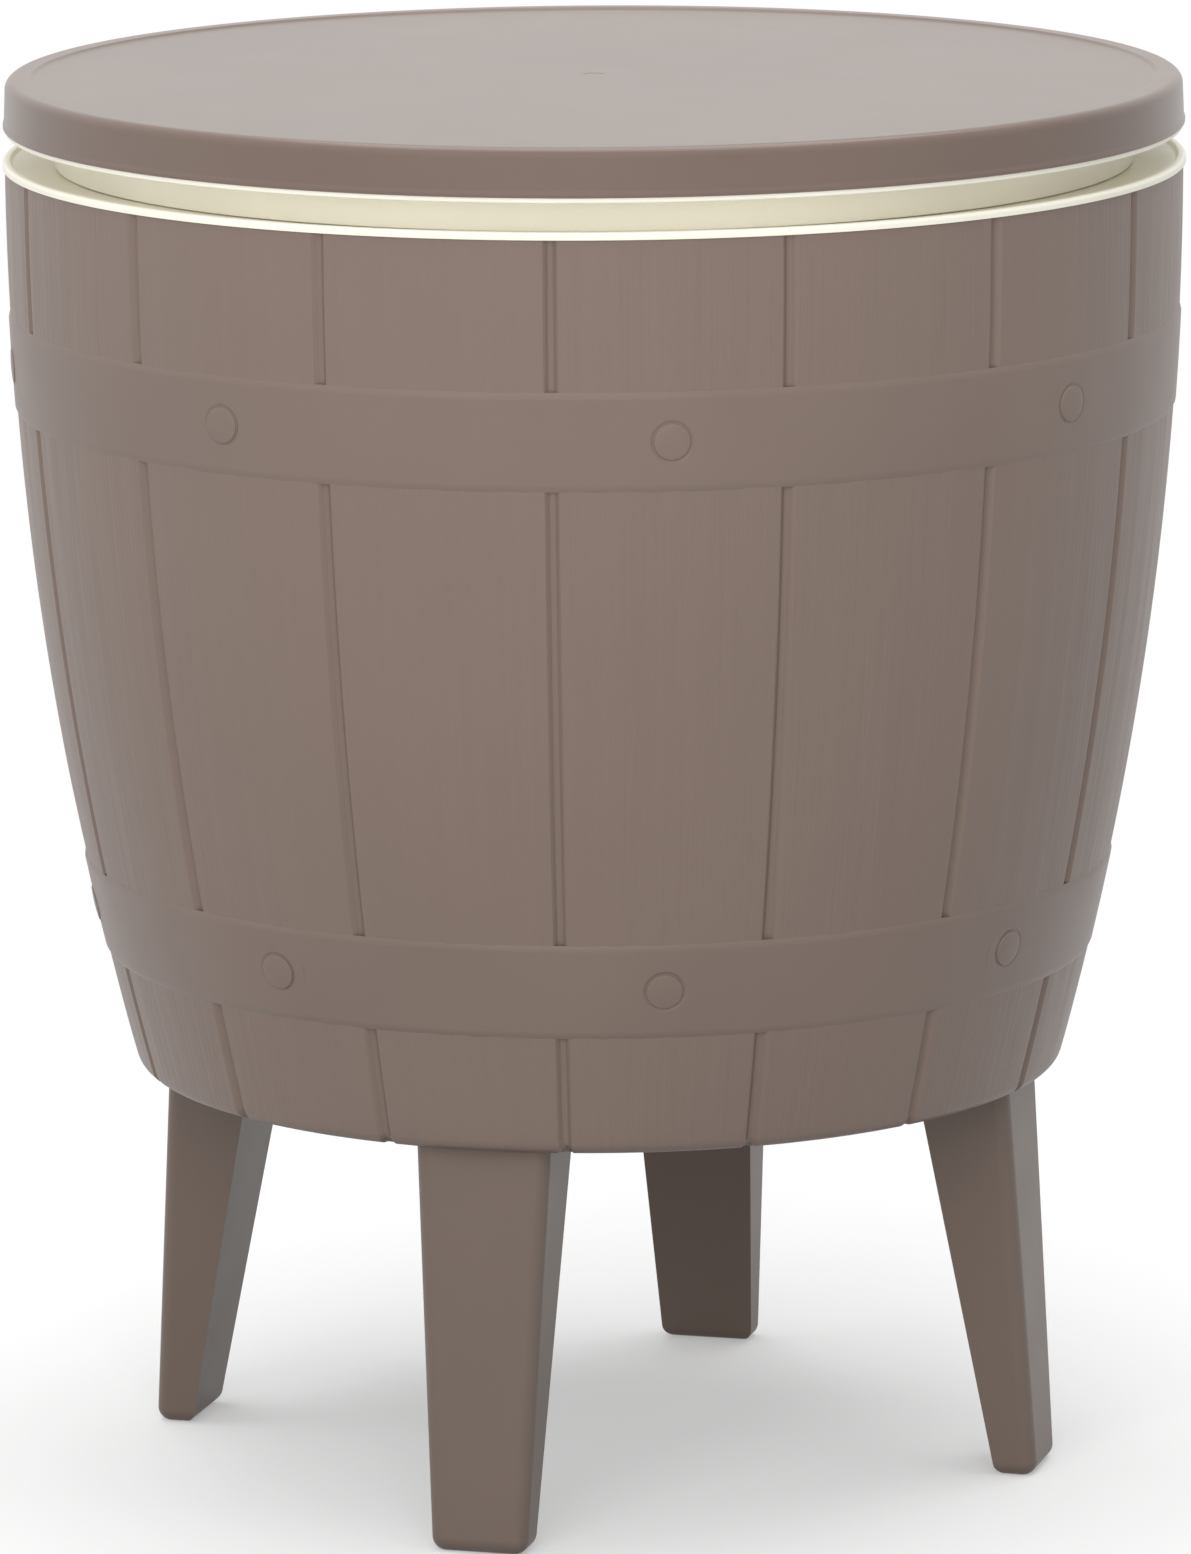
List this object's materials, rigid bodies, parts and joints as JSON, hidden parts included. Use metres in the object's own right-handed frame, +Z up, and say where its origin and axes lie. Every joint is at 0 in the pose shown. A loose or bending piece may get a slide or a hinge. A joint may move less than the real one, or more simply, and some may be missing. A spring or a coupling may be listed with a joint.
{
  "type": "cooler table with lid",
  "caption": "Round patio cooler shaped as a staved barrel on splayed legs, with an insulated tub and a table top lid that lifts and turns on a central telescopic column.",
  "frame": {"origin": "on the floor at the middle of the four feet", "axes": "+Z up along the barrel's axis; the four legs lie on the X and Y axes, the front leg towards -Y"},
  "size_m": [0.4958, 0.4956, 0.59],
  "materials": {
    "taupe_plastic": "moulded matt polypropylene, taupe",
    "cream_plastic": "moulded satin polypropylene, cream",
    "pole_aluminium": "satin anodised tube",
    "bearing_plastic": "moulded dark acetal",
    "drain_plastic": "moulded satin plastic",
    "screw_steel": "stainless",
    "seal_rubber": "soft matt rubber"
  },
  "bodies": {
    "cooler": {"barrel_shell": "taupe_plastic", "cooler_liner": "cream_plastic", "tie_screws": "screw_steel", "right_leg": "taupe_plastic", "back_leg": "taupe_plastic", "left_leg": "taupe_plastic", "front_leg": "taupe_plastic", "leg_screws": "screw_steel", "drain_spout": "drain_plastic", "drain_nut": "drain_plastic", "column_sleeve": "cream_plastic", "sleeve_screws": "screw_steel", "lock_ring": "bearing_plastic", "sleeve_cap": "cream_plastic"},
    "guide": {"guide_bush": "bearing_plastic"},
    "lid": {"tabletop_cover": "taupe_plastic", "lid_inner_shell": "cream_plastic", "lid_screws": "screw_steel", "lid_seal": "seal_rubber", "pole_socket": "cream_plastic", "pole_pin": "screw_steel", "socket_screws": "screw_steel", "lift_pole": "pole_aluminium", "pole_foot": "bearing_plastic", "foot_washer": "screw_steel", "foot_screw": "screw_steel"},
    "plug": {"drain_plug": "drain_plastic", "plug_seal": "seal_rubber"}
  },
  "joints": [
    {"name": "lid_lift", "type": "slide", "parent": "cooler", "child": "guide", "axis": [0, 0, 1], "range_m": [0, 0.25]},
    {"name": "lid_turn", "type": "hinge", "parent": "guide", "child": "lid", "pos_m": [0, 0, 0.252], "axis": [0, 0, 1], "range_deg": [0, 60]},
    {"name": "drain_plug_pull", "type": "slide", "parent": "cooler", "child": "plug", "axis": [0, 0, -1], "range_m": [0, 0.03]}
  ]
}
